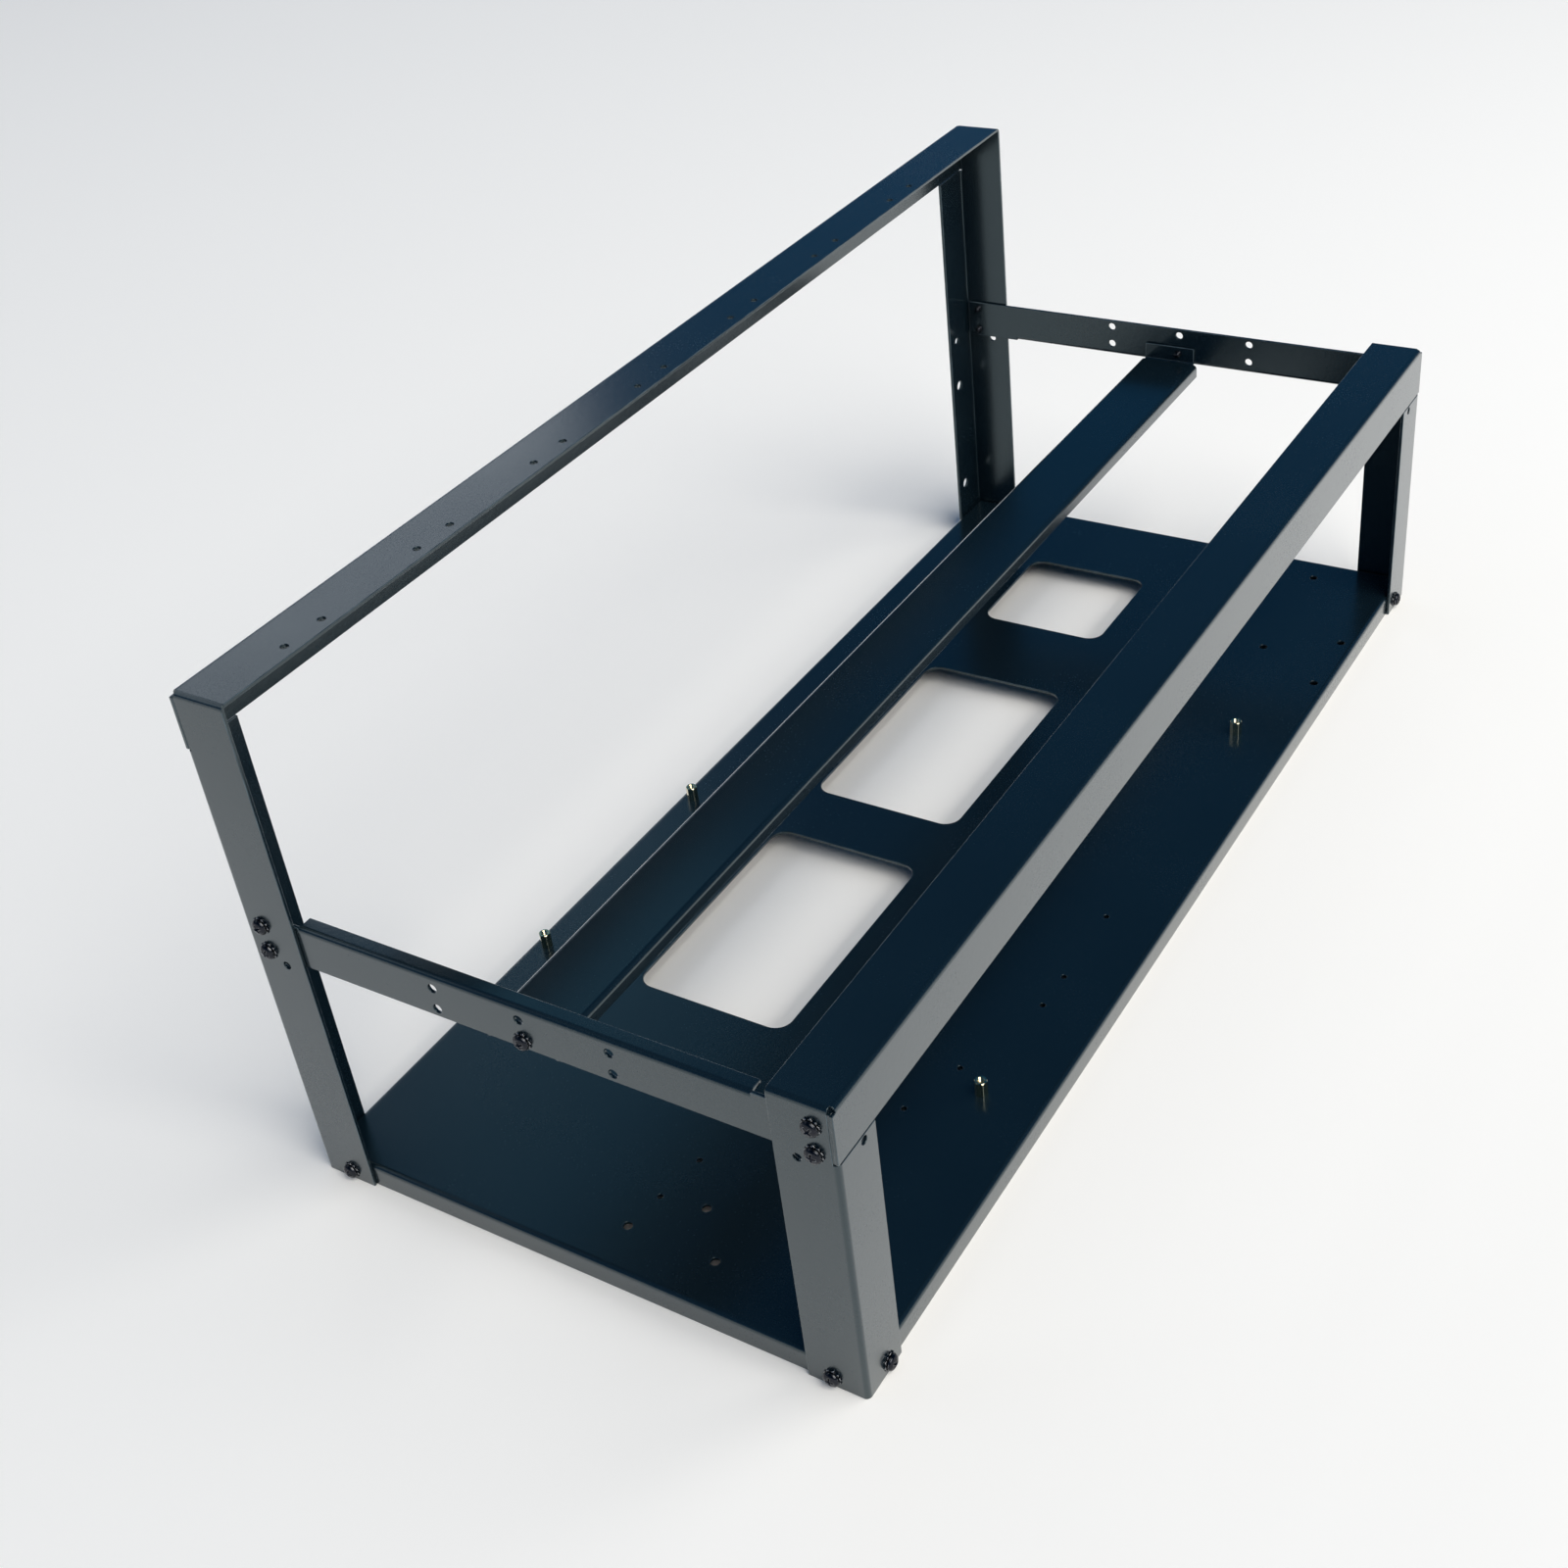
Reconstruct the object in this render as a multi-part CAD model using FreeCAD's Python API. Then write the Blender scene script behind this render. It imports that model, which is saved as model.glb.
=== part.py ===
# Mining rig frame: two arches folded from sheet steel stand on a folded base tray.
# End rails and a middle rail tie the arches together, and four standoffs carry the main board.
# The origin is on the ground at the middle of the frame: x along its length, y to the rear, z up.

import FreeCAD
import Part
import os
from math import cos, pi, sin

Vector = FreeCAD.Vector

# Main board: its screw holes set the places of the standoffs and the depth of the frame
board_left = 147.5            # left end of the frame to the left holes
board_front = 29.0            # front face of the frame to the front holes
board_rear = 8.67             # rear holes to the rear face of the frame
board_span_x = 281.94         # between the two front holes
board_mid_x = 124.46          # between the two rear holes
board_span_y = 227.33         # between the front and the rear holes

# Overall sizes, over the folded sheets
length = 606.0
depth = board_front + board_span_y + board_rear
front_height = 147.5
rear_height = 243.0

# Sheet and folds
sheet = 1.5
bend_radius = 0.8             # inside a fold
seam = 0.6                    # slit between two flanges that meet
fit_play = 0.1                # between two sheets that a screw draws together

# Arches: a top strip and two posts in one sheet, with flanges on the outer edge
front_strip = 26.0            # depth of the top and of the posts
front_rail_drop = 25.0        # height of the flange under the top
front_post_face = 24.5        # width of the flange on a post
rear_strip = 26.2
rear_rail_drop = 25.0
rear_post_face = 25.0

# Base tray and its three windows
tray_height = 11.0
window_corner = 8.0
large_window_front = 124.0    # front face of the frame to the two large windows
large_window_depth = 78.5
left_window_start = 144.0     # left end of the frame to the first window
left_window_length = 124.0
mid_window_start = 303.5
mid_window_length = 124.0
right_window_front = 129.5    # front face of the frame to the small window
right_window_depth = 69.5
right_window_length = 67.0
right_window_end = 56.0       # small window to the right end of the frame

# End rails: one pressing for both ends, turned over at the right
rail_height = 20.0
rail_flange = 7.0
rail_below_top = 6.5          # top of the front arch to the top of the rails
rail_front_gap = 7.3          # flange of the left rail to the front post
rail_rear_gap = 1.5           # flange of the left rail to the rear post
rail_end_play = 1.0           # end of the web to the flange of a post
pair_edge = 3.75              # free edge of the web to the nearer hole of a pair
pair_rise = 10.0              # between the two holes of a pair
pair_pitch = 40.0             # between the three pairs
rail_screw_rise = 12.5        # between the two screws at each end
rail_screw_inset = 9.0        # face of the arch to these screws

# Middle rail: a channel, open below, with a tab turned up at each end
middle_width = 33.0
middle_front = 11.5           # front of the channel to the row of middle holes
middle_drop = 7.0             # height of its flanges
middle_rise = 1.5             # lower edge of the end rails to its top
tab_margin = 4.0              # upper screw to the top of a tab

# Card holes along the top of the rear arch
card_start = 40.0             # left end of the frame to the first hole
card_pair_gap = 20.32
card_pitch = 75.7
card_end = 60.0               # least distance from the last hole to the right end
card_line = 20.0              # rear face of the frame to the holes
card_hole_d = 3.2

# Spare holes in the posts and the tray
spare_hole_d = 3.6
spare_below_seam = 2.4        # seam of the front arch to the spare holes
spare_inset = 16.5            # corner of a post to its spare holes
rear_face_inset = 17.0        # end of the frame to the holes in the rear faces
rear_face_holes = ((122.0, 4.0), (94.0, 5.5), (30.0, 5.5))        # height, diameter
tray_hole_d = 4.0
left_tray_holes = ((22.5, 122.0), (22.5, 80.5), (44.0, 98.5))     # from the left end, from the front
right_tray_holes = ((119.0, 9.0), (77.5, 9.0), (96.0, 45.0), (19.0, 45.0))     # from the right end, the front
small_hole_d = 2.5
small_tray_holes = ((41.0, 119.0), (64.5, 115.5), (126.0, 54.0), (157.0, 44.0),
                    (206.5, 29.5), (227.0, 29.0), (272.0, 29.0))  # from the left end, from the front

# Screws with toothed lock washers
screw_d = 3.5
screw_play = 0.5              # wider hole in the sheet under the head
thread_play = 0.1             # wider hole in the sheet that takes the thread
screw_tip = 2.5               # thread past the inner sheet
head_d = 6.8
head_height = 2.5
head_rim = 0.8                # height of the straight edge of the head
recess_span = 4.0
recess_slot = 1.0
recess_depth = 1.3
washer_d = 8.0
washer_thickness = 0.6
washer_root_d = 6.4           # circle that the teeth grow from
washer_teeth = 10
tray_screw_z = 5.2
tray_screw_side = 15.0        # face of the arch to the screws in its sides
tray_screw_end = 15.5         # end of the frame to the screws in its faces

# Standoffs
standoff_height = 7.5
standoff_flats = 5.0
standoff_thread_d = 3.0
standoff_thread_depth = 5.5
stud_d = 3.5
stud_length = 4.0

outer_radius = bend_radius + sheet
fold_lap = 2 * outer_radius                       # a fold starts this far inside the flat that it joins
half_length = length / 2
half_depth = depth / 2
rail_top = front_height - rail_below_top
rail_bottom = rail_top - rail_height
rail_middle = (rail_top + rail_bottom) / 2
web_x = half_length - sheet - fit_play            # outer face of an end rail's web
tab_x = web_x - sheet - fit_play                  # outer face of the middle rail's tabs
left_pair_z = (rail_bottom + pair_edge, rail_bottom + pair_edge + pair_rise)
right_pair_z = (rail_top - pair_edge - pair_rise, rail_top - pair_edge)
spare_z = front_height - front_rail_drop - seam - spare_below_seam
rail_screw_z = (rail_middle - rail_screw_rise / 2, rail_middle + rail_screw_rise / 2)
clear_d = screw_d + screw_play
thread_d = screw_d + thread_play

UP = Vector(0, 0, 1)
LEFT = Vector(-1, 0, 0)
RIGHT = Vector(1, 0, 0)
FRONT = Vector(0, -1, 0)
REAR = Vector(0, 1, 0)


def from_left(distance):
    return -half_length + distance


def from_front(distance):
    return -half_depth + distance


def box(x0, x1, y0, y1, z0, z1):
    """Block between two opposite corners."""
    return Part.makeBox(x1 - x0, y1 - y0, z1 - z0, Vector(x0, y0, z0))


def folded(corners, travel):
    """Sheet folded square at each inner corner, with its outer face through the corners."""
    runs = [(b - a).normalize() for a, b in zip(corners, corners[1:])]
    inward = [runs[1]] + [run * -1 for run in runs[:-1]]
    outer_line = [corners[0]]
    inner_line = [corners[0] + inward[0] * sheet]
    arcs = []
    for i, corner in enumerate(corners[1:-1]):
        centre = corner + (runs[i + 1] - runs[i]) * outer_radius
        diagonal = (runs[i] - runs[i + 1]).normalize()
        for radius, line in ((outer_radius, outer_line), (bend_radius, inner_line)):
            start = centre - inward[i] * radius
            end = centre - inward[i + 1] * radius
            arcs.append(Part.Arc(start, centre + diagonal * radius, end).toShape())
            line.extend([start, end])
    outer_line.append(corners[-1])
    inner_line.append(corners[-1] + inward[-1] * sheet)
    straights = [Part.makeLine(outer_line[0], inner_line[0]), Part.makeLine(outer_line[-1], inner_line[-1])]
    for line in (outer_line, inner_line):
        straights += [Part.makeLine(a, b) for a, b in zip(line[::2], line[1::2])]
    wire = Part.Wire(Part.__sortEdges__(arcs + straights))
    return Part.Face(wire).extrude(travel)


def fused(shapes):
    """Flats and folds joined into one sheet, without lines between faces that run on."""
    return shapes[0].fuse(shapes[1:]).removeSplitter()


def hole(x, y, z, diameter, axis):
    """Cutter for a round hole through one sheet, centred on the given point."""
    reach = 2 * outer_radius
    start = Vector(x, y, z) - axis * reach
    return Part.makeCylinder(diameter / 2, 2 * reach, start, axis)


def placed(shape, point, outward):
    """Copy of a fastener with its head turned outward and its seat at the point."""
    copy = shape.copy()
    copy.Placement = FreeCAD.Placement(point, FreeCAD.Rotation(UP, outward))
    return copy


def arch(height, strip, rail_drop, post_face):
    """Folded arch with its flanges on the front face; the corners are left open where the folds meet."""
    face_y = -half_depth
    fold_y = face_y + outer_radius
    flange_top = height - rail_drop - seam
    end = half_length
    span = end - outer_radius
    foot_left = Vector(-end, fold_y, 0)
    foot_right = Vector(end, fold_y, 0)
    sheets = [folded([foot_left, foot_left + UP * height, foot_right + UP * height, foot_right],
                     REAR * (strip - outer_radius))]
    brow = Vector(-span, face_y, height)
    sheets.append(folded([brow + REAR * fold_lap, brow, brow - UP * rail_drop], RIGHT * (2 * span)))
    for side in (-1, 1):
        corner = Vector(side * end, face_y, 0)
        sheets.append(folded([corner + REAR * fold_lap, corner, corner - RIGHT * (side * post_face)],
                             UP * flange_top))
        ear = sorted((side * end, side * span))
        sheets.append(box(ear[0], ear[1], face_y, face_y + sheet, height - rail_drop, height - outer_radius))
    return fused(sheets)


def side_holes(y, z, diameter):
    """The same hole through the side faces of the left and the right post."""
    return [hole(side * half_length, y, z, diameter, RIGHT) for side in (-1, 1)]


def face_holes(y, inset, z, diameter):
    """The same hole through the front or rear faces of the left and the right post."""
    return [hole(side * (half_length - inset), y, z, diameter, REAR) for side in (-1, 1)]


def post_holes(facing):
    """Screw holes that both arches have, for the rails and the tray; facing is -1 in front, 1 at the rear."""
    cutters = []
    for z in rail_screw_z:
        cutters += side_holes(facing * (half_depth - rail_screw_inset), z, clear_d)
    cutters += side_holes(facing * (half_depth - tray_screw_side), tray_screw_z, clear_d)
    cutters += side_holes(facing * (half_depth - spare_inset), spare_z, spare_hole_d)
    cutters += face_holes(facing * half_depth, tray_screw_end, tray_screw_z, clear_d)
    return cutters


def front_arch():
    sheet_body = arch(front_height, front_strip, front_rail_drop, front_post_face)
    spare = face_holes(-half_depth, spare_inset, spare_z, spare_hole_d)
    return sheet_body.cut(post_holes(-1) + spare)


def card_holes():
    """Cutters for the pairs of card holes, as many as the top of the rear arch has room for."""
    room = length - card_start - card_pair_gap - card_end
    cutters = []
    for i in range(int(room // card_pitch) + 1):
        for step in (0, card_pair_gap):
            x = from_left(card_start + i * card_pitch + step)
            cutters.append(hole(x, half_depth - card_line, rear_height, card_hole_d, UP))
    return cutters


def rear_arch():
    sheet_body = arch(rear_height, rear_strip, rear_rail_drop, rear_post_face)
    sheet_body.rotate(Vector(0, 0, 0), UP, 180)
    cutters = post_holes(1) + card_holes()
    for z, diameter in rear_face_holes:
        cutters += face_holes(half_depth, rear_face_inset, z, diameter)
    return sheet_body.cut(cutters)


def window(start, span, front, reach):
    """Cutter for a window in the tray, with round corners; front is its distance from the front face."""
    y = from_front(front)
    cutter = box(start, start + span, y, y + reach, 0, 2 * tray_height)
    upright = [edge for edge in cutter.Edges if abs(edge.tangentAt(edge.FirstParameter).z) > 0.5]
    return cutter.makeFillet(window_corner, upright)


def board_points():
    """Places of the standoffs by name, in x and y."""
    left = from_left(board_left)
    front = from_front(board_front)
    rear = front + board_span_y
    return {
        "standoff_front_left": (left, front),
        "standoff_front_right": (left + board_span_x, front),
        "standoff_rear_left": (left, rear),
        "standoff_rear_middle": (left + board_mid_x, rear),
    }


def base_tray():
    """Floor with a flange turned down on each side; the corners are open between the flanges."""
    end = half_length - sheet - fit_play
    side = half_depth - sheet - fit_play
    start_x = -end + outer_radius
    foot_front = Vector(start_x, -side, 0)
    foot_rear = Vector(start_x, side, 0)
    lift = UP * tray_height
    sheets = [folded([foot_front, foot_front + lift, foot_rear + lift, foot_rear], RIGHT * (-2 * start_x))]
    start_y = -side + outer_radius
    for way in (-1, 1):
        edge = Vector(way * end, start_y, tray_height)
        sheets.append(folded([edge - RIGHT * (way * fold_lap), edge, edge - lift], REAR * (-2 * start_y)))
    right_start = half_length - right_window_end - right_window_length
    cutters = [window(right_start, right_window_length, right_window_front, right_window_depth)]
    for start, span in ((left_window_start, left_window_length), (mid_window_start, mid_window_length)):
        cutters.append(window(from_left(start), span, large_window_front, large_window_depth))
    for x, y in left_tray_holes:
        cutters.append(hole(from_left(x), from_front(y), tray_height, tray_hole_d, UP))
    for x, y in right_tray_holes:
        cutters.append(hole(half_length - x, from_front(y), tray_height, tray_hole_d, UP))
    for x, y in small_tray_holes:
        cutters.append(hole(from_left(x), from_front(y), tray_height, small_hole_d, UP))
    for x, y in board_points().values():
        cutters.append(hole(x, y, tray_height, stud_d + thread_play, UP))
    side_screw_y = half_depth - tray_screw_side
    face_screw_x = half_length - tray_screw_end
    for facing in (-1, 1):
        for way in (-1, 1):
            cutters.append(hole(way * end, facing * side_screw_y, tray_screw_z, thread_d, RIGHT))
            cutters.append(hole(way * face_screw_x, facing * side, tray_screw_z, thread_d, REAR))
    return fused(sheets).cut(cutters)


def end_rail():
    """Left end rail: a web inside the posts, and a flange that is trimmed clear of them."""
    web_end = half_depth - sheet - bend_radius - rail_end_play
    flange_front = from_front(front_strip + rail_front_gap)
    flange_rear = half_depth - rear_strip - rail_rear_gap
    foot = Vector(-web_x, flange_front, rail_bottom)
    knee = foot + UP * rail_height
    sheets = [folded([foot, knee, knee + RIGHT * rail_flange], REAR * (flange_rear - flange_front))]
    for y0, y1 in ((-web_end, flange_front), (flange_rear, web_end)):
        sheets.append(box(-web_x, -web_x + sheet, y0, y1, rail_bottom, rail_top))
    cutters = []
    for facing in (-1, 1):
        for z in rail_screw_z:
            cutters.append(hole(-web_x, facing * (half_depth - rail_screw_inset), z, thread_d, RIGHT))
    for step in (-1, 0, 1):
        for z in left_pair_z:
            cutters.append(hole(-web_x, step * pair_pitch, z, clear_d, RIGHT))
    return fused(sheets).cut(cutters)


def right_end_rail():
    """The same pressing turned over, so that its flange points outward below."""
    rail = end_rail()
    rail.rotate(Vector(0, 0, rail_middle), RIGHT, 180)
    rail.translate(RIGHT * (2 * web_x - sheet))
    return rail


def middle_rail():
    """Channel between the end rails; each tab takes the lower hole of the middle pair beside it."""
    top = rail_bottom + middle_rise
    front = -middle_front
    rear = front + middle_width
    start = -tab_x + outer_radius
    foot = Vector(start, front, top - middle_drop)
    far = Vector(start, rear, top - middle_drop)
    lift = UP * middle_drop
    sheets = [folded([foot, foot + lift, far + lift, far], RIGHT * (-2 * start))]
    tab_top = max(left_pair_z[0], right_pair_z[0]) + tab_margin
    for way in (-1, 1):
        under = Vector(way * tab_x, front + outer_radius, top - sheet)
        sheets.append(folded([under - RIGHT * (way * fold_lap), under, under + UP * (tab_top - under.z)],
                             REAR * (middle_width - 2 * outer_radius)))
    cutters = [hole(-tab_x, 0, left_pair_z[0], thread_d, RIGHT),
               hole(tab_x, 0, right_pair_z[0], thread_d, RIGHT)]
    return fused(sheets).cut(cutters)


def screw():
    """Pan-head screw with a cross recess; its washer's seat is at the origin and its head points up."""
    grip = 2 * sheet + fit_play + screw_tip
    seat = washer_thickness
    rim = seat + head_rim
    crown = seat + head_height
    side = Vector(head_d / 2, 0, rim)
    top = Vector(0, 0, crown)
    shoulder = Vector(head_d / 2 * cos(pi / 4), 0, rim + (crown - rim) * sin(pi / 4))
    outline = [Vector(0, 0, -grip), Vector(screw_d / 2, 0, -grip), Vector(screw_d / 2, 0, seat),
               Vector(head_d / 2, 0, seat), side]
    edges = [Part.makeLine(a, b) for a, b in zip(outline, outline[1:])]
    edges.append(Part.Arc(side, shoulder, top).toShape())
    edges.append(Part.makeLine(top, outline[0]))
    body = Part.Face(Part.Wire(edges)).revolve(Vector(0, 0, 0), UP, 360)
    half_span = recess_span / 2
    half_slot = recess_slot / 2
    floor = crown - recess_depth
    slots = [box(-half_span, half_span, -half_slot, half_slot, floor, crown + recess_depth),
             box(-half_slot, half_slot, -half_span, half_span, floor, crown + recess_depth)]
    return body.cut(slots)


def washer():
    """Lock washer with teeth around its rim."""
    step = 2 * pi / washer_teeth
    rim = []
    for i in range(washer_teeth):
        for radius, turn in ((washer_root_d / 2, 0.0), (washer_d / 2, 0.25), (washer_d / 2, 0.5),
                             (washer_root_d / 2, 0.75)):
            angle = (i + turn) * step
            rim.append(Vector(radius * cos(angle), radius * sin(angle), 0))
    disc = Part.Face(Part.makePolygon(rim + rim[:1])).extrude(UP * washer_thickness)
    return disc.cut(Part.makeCylinder(clear_d / 2, washer_thickness))


def standoff():
    """Hexagonal standoff, turned to a chamfer at its top, with a threaded hole and a stud below its seat."""
    across = standoff_flats / 2 / cos(pi / 6)
    rim = [Vector(across * cos(i * pi / 3), across * sin(i * pi / 3), 0) for i in range(6)]
    body = Part.Face(Part.makePolygon(rim + rim[:1])).extrude(UP * standoff_height)
    chamfer = across - standoff_flats / 2
    turned = Part.makeCylinder(across, standoff_height - chamfer)
    cone = Part.makeCone(across, standoff_flats / 2, chamfer, UP * (standoff_height - chamfer))
    body = body.common(turned.fuse(cone))
    stud = Part.makeCylinder(stud_d / 2, stud_length, UP * -stud_length)
    bore_floor = UP * (standoff_height - standoff_thread_depth)
    bore = Part.makeCylinder(standoff_thread_d / 2, standoff_thread_depth, bore_floor)
    return body.fuse(stud).cut(bore)


def fasteners():
    """Screws and washers of each corner and of the middle rail, as groups by name."""
    seats = {}
    for across, side, out in (("left", -1, LEFT), ("right", 1, RIGHT)):
        for along, facing, face_out in (("front", -1, FRONT), ("rear", 1, REAR)):
            rail_y = facing * (half_depth - rail_screw_inset)
            seats[along + "_" + across + "_rail"] = [(Vector(side * half_length, rail_y, z), out)
                                                     for z in rail_screw_z]
            tray_y = facing * (half_depth - tray_screw_side)
            tray_x = side * (half_length - tray_screw_end)
            seats[along + "_" + across + "_tray"] = [
                (Vector(side * half_length, tray_y, tray_screw_z), out),
                (Vector(tray_x, facing * half_depth, tray_screw_z), face_out)]
    seats["left_middle"] = [(Vector(-web_x, 0, left_pair_z[0]), LEFT)]
    seats["right_middle"] = [(Vector(web_x, 0, right_pair_z[0]), RIGHT)]
    groups = {}
    for name, places in seats.items():
        groups[name + "_screws"] = Part.makeCompound([placed(screw(), point, out) for point, out in places])
        groups[name + "_washers"] = Part.makeCompound([placed(washer(), point, out) for point, out in places])
    return groups


nodes = {
    "base_tray": base_tray(),
    "front_arch": front_arch(),
    "rear_arch": rear_arch(),
    "left_end_rail": end_rail(),
    "right_end_rail": right_end_rail(),
    "middle_rail": middle_rail(),
}
for name, (x, y) in board_points().items():
    nodes[name] = placed(standoff(), Vector(x, y, tray_height), UP)
nodes.update(fasteners())

os.makedirs("parts", exist_ok=True)
for name, shape in nodes.items():
    shape.exportStep("parts/" + name + ".step")
    print(name, "solids", len(shape.Solids), "volume", round(shape.Volume, 1))
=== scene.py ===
# %% [markdown]
# # Mining rig frame
# The real object is an open frame of folded sheet steel under a satin blue-black powder coat.
# Black screws with toothed lock washers hold it together, and brass standoffs wait for a main board.
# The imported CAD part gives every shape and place. This script gives it a finish, rounds what a
# deburring tool and a coat of powder round on the real sheets, and remakes the small turned parts.

from math import cos, pi, radians, sin, sqrt

import bmesh
import bpy
from mathutils import Matrix, Vector


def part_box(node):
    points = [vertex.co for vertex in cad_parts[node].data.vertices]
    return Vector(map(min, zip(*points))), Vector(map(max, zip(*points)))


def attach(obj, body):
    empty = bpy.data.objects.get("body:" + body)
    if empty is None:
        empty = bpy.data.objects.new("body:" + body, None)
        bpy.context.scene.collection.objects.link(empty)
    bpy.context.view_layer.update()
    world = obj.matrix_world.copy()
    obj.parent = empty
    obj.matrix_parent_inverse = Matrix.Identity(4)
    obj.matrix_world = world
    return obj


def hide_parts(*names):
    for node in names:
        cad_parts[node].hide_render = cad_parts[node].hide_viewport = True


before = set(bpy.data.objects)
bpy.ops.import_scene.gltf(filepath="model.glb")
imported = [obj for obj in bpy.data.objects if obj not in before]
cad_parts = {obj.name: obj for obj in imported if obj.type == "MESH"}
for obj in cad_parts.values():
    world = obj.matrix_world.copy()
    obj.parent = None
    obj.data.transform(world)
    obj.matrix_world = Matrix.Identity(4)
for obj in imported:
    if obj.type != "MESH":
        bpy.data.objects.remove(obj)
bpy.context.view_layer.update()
MM = 0.001                           # Blender's unit is the metre

# %% [markdown]
# Colours are written as the hex values that a picture editor shows. Blender mixes light in linear
# values, so one function converts them. The Standard view transform leaves them as they are.

# %% Colour and view settings
scene = bpy.context.scene
scene.view_settings.view_transform = "Standard"


def linear(hex_colour):
    """Linear RGBA from an sRGB hex value."""
    parts = [int(hex_colour[i:i + 2], 16) / 255 for i in (1, 3, 5)]
    return tuple(p / 12.92 if p <= 0.04045 else ((p + 0.055) / 1.055) ** 2.4 for p in parts) + (1.0,)


print("mid grey in linear values", round(linear("#808080")[0], 3))

# %% [markdown]
# The camera stands in front of the frame, to its left and above it, and is turned a little about its
# own axis, as a hand-held camera is. A look-at rotation gives the first two, and a roll the third.

# %% Camera
VIEW_FROM = Vector((-683.34, -406.62, 616.12)) * MM
VIEW_AZIMUTH = radians(54.068)       # from the rear direction towards the right
VIEW_DROP = radians(35.723)          # below the horizon
VIEW_ROLL = radians(-7.587)
SENSOR_WIDTH_MM = 36.0
FOCAL_LENGTH_MM = 46.775

look = Vector((sin(VIEW_AZIMUTH) * cos(VIEW_DROP), cos(VIEW_AZIMUTH) * cos(VIEW_DROP), -sin(VIEW_DROP)))
lens = bpy.data.cameras.new("camera")
lens.sensor_width = SENSOR_WIDTH_MM
lens.lens = FOCAL_LENGTH_MM
camera = bpy.data.objects.new("camera", lens)
scene.collection.objects.link(camera)
turn = look.to_track_quat("-Z", "Y").to_matrix() @ Matrix.Rotation(VIEW_ROLL, 3, "Z")
camera.matrix_world = Matrix.Translation(VIEW_FROM) @ turn.to_4x4()
scene.camera = camera
print("camera at", [round(c, 3) for c in VIEW_FROM], "lens", lens.lens, "mm")

# %% [markdown]
# Every material and the world are small node trees. One function adds a node, sets its properties
# and fills its sockets: a socket in `inputs` becomes a link, and anything else a plain value.

# %% One function for nodes


def add(tree, kind, inputs=None, **settings):
    """New node of that kind, with its settings made and its input sockets set or linked."""
    node = tree.nodes.new(kind)
    for name, value in settings.items():
        setattr(node, name, value)
    for name, value in (inputs or {}).items():
        if isinstance(value, bpy.types.NodeSocket):
            tree.links.new(value, node.inputs[name])
        else:
            node.inputs[name].default_value = value
    return node


def new_material(name):
    """Material with an empty tree, that tree, and its output node."""
    material = bpy.data.materials.new(name)
    material.use_nodes = True
    material.node_tree.nodes.clear()
    return material, material.node_tree, add(material.node_tree, "ShaderNodeOutputMaterial")


print("node helpers ready")

# %% [markdown]
# The floor is a wide sheet of white paper. The sheet-steel frame is nearly black, and most of what it
# shows is reflection: its upright faces mirror this paper, so the paper is also the largest reflector.

# %% Floor
FLOOR_HALF = 12.0                    # metres
PAPER_WHITE = "#FCFCFC"
paper, tree, out = new_material("white_paper")
surface = add(tree, "ShaderNodeBsdfPrincipled",
              {"Base Color": linear(PAPER_WHITE), "Roughness": 0.95, "Specular IOR Level": 0.1})
tree.links.new(surface.outputs["BSDF"], out.inputs["Surface"])

floor_mesh = bpy.data.meshes.new("floor")
bm = bmesh.new()
bmesh.ops.create_grid(bm, x_segments=1, y_segments=1, size=FLOOR_HALF)
bm.to_mesh(floor_mesh)
bm.free()
floor_mesh.materials.append(paper)
floor = bpy.data.objects.new("floor", floor_mesh)
scene.collection.objects.link(floor)
print("floor", 2 * FLOOR_HALF, "m wide")

# %% [markdown]
# The room is pale round the horizon, like a white sweep, and blue above: a soft blue low down that
# darkens towards the top. The level faces mirror that blue, which is why a nearly black coat looks navy
# on top, and more so at the far end, where the glance is flatter.
# A picture of a studio could do this too, but the faces only mirror broad tones, so a gradient is
# enough. The world's direction comes from Texture Coordinate, and its height decides between the tones.

# %% World
HORIZON = linear("#FFFFFF")
LOW_BLUE = linear("#1D5680")
HIGH_BLUE = linear("#123E60")
PALE_UP_TO = sin(radians(1.0))
BLUE_FROM = sin(radians(11.0))
DARK_FROM = sin(radians(48.0))

world = bpy.data.worlds.new("room")
scene.world = world
world.use_nodes = True
tree = world.node_tree
tree.nodes.clear()
ray = add(tree, "ShaderNodeTexCoord")
height = add(tree, "ShaderNodeSeparateXYZ", {"Vector": ray.outputs["Generated"]})
rise = add(tree, "ShaderNodeMapRange",
           {"Value": height.outputs["Z"], "From Min": BLUE_FROM, "From Max": DARK_FROM})
blue = add(tree, "ShaderNodeMix", {"Factor": rise.outputs["Result"], "A": LOW_BLUE, "B": HIGH_BLUE},
           data_type="RGBA")
share = add(tree, "ShaderNodeMapRange",
            {"Value": height.outputs["Z"], "From Min": PALE_UP_TO, "From Max": BLUE_FROM},
            interpolation_type="SMOOTHSTEP")
tone = add(tree, "ShaderNodeMix",
           {"Factor": share.outputs["Result"], "A": HORIZON, "B": blue.outputs["Result"]},
           data_type="RGBA")
glow = add(tree, "ShaderNodeBackground", {"Color": tone.outputs["Result"], "Strength": 1.0})
add(tree, "ShaderNodeOutputWorld", {"Surface": glow.outputs["Background"]})
print("world nodes", len(tree.nodes))

# %% [markdown]
# Two broad lamps stand for large soft boxes. A sun lamp with a wide angle lights the whole floor evenly
# from the front left and keeps its shadows soft. A square lamp in front brightens the floor there, and
# the front faces mirror that floor, but not the lamp. Both are a little warm, so that with the blue from
# above the paper stays white. Three dim cards hang far behind the frame: the rear top strip mirrors the
# low one, the left end of the tray mirrors the high blue one, and only folds mirror the tall one.

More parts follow.
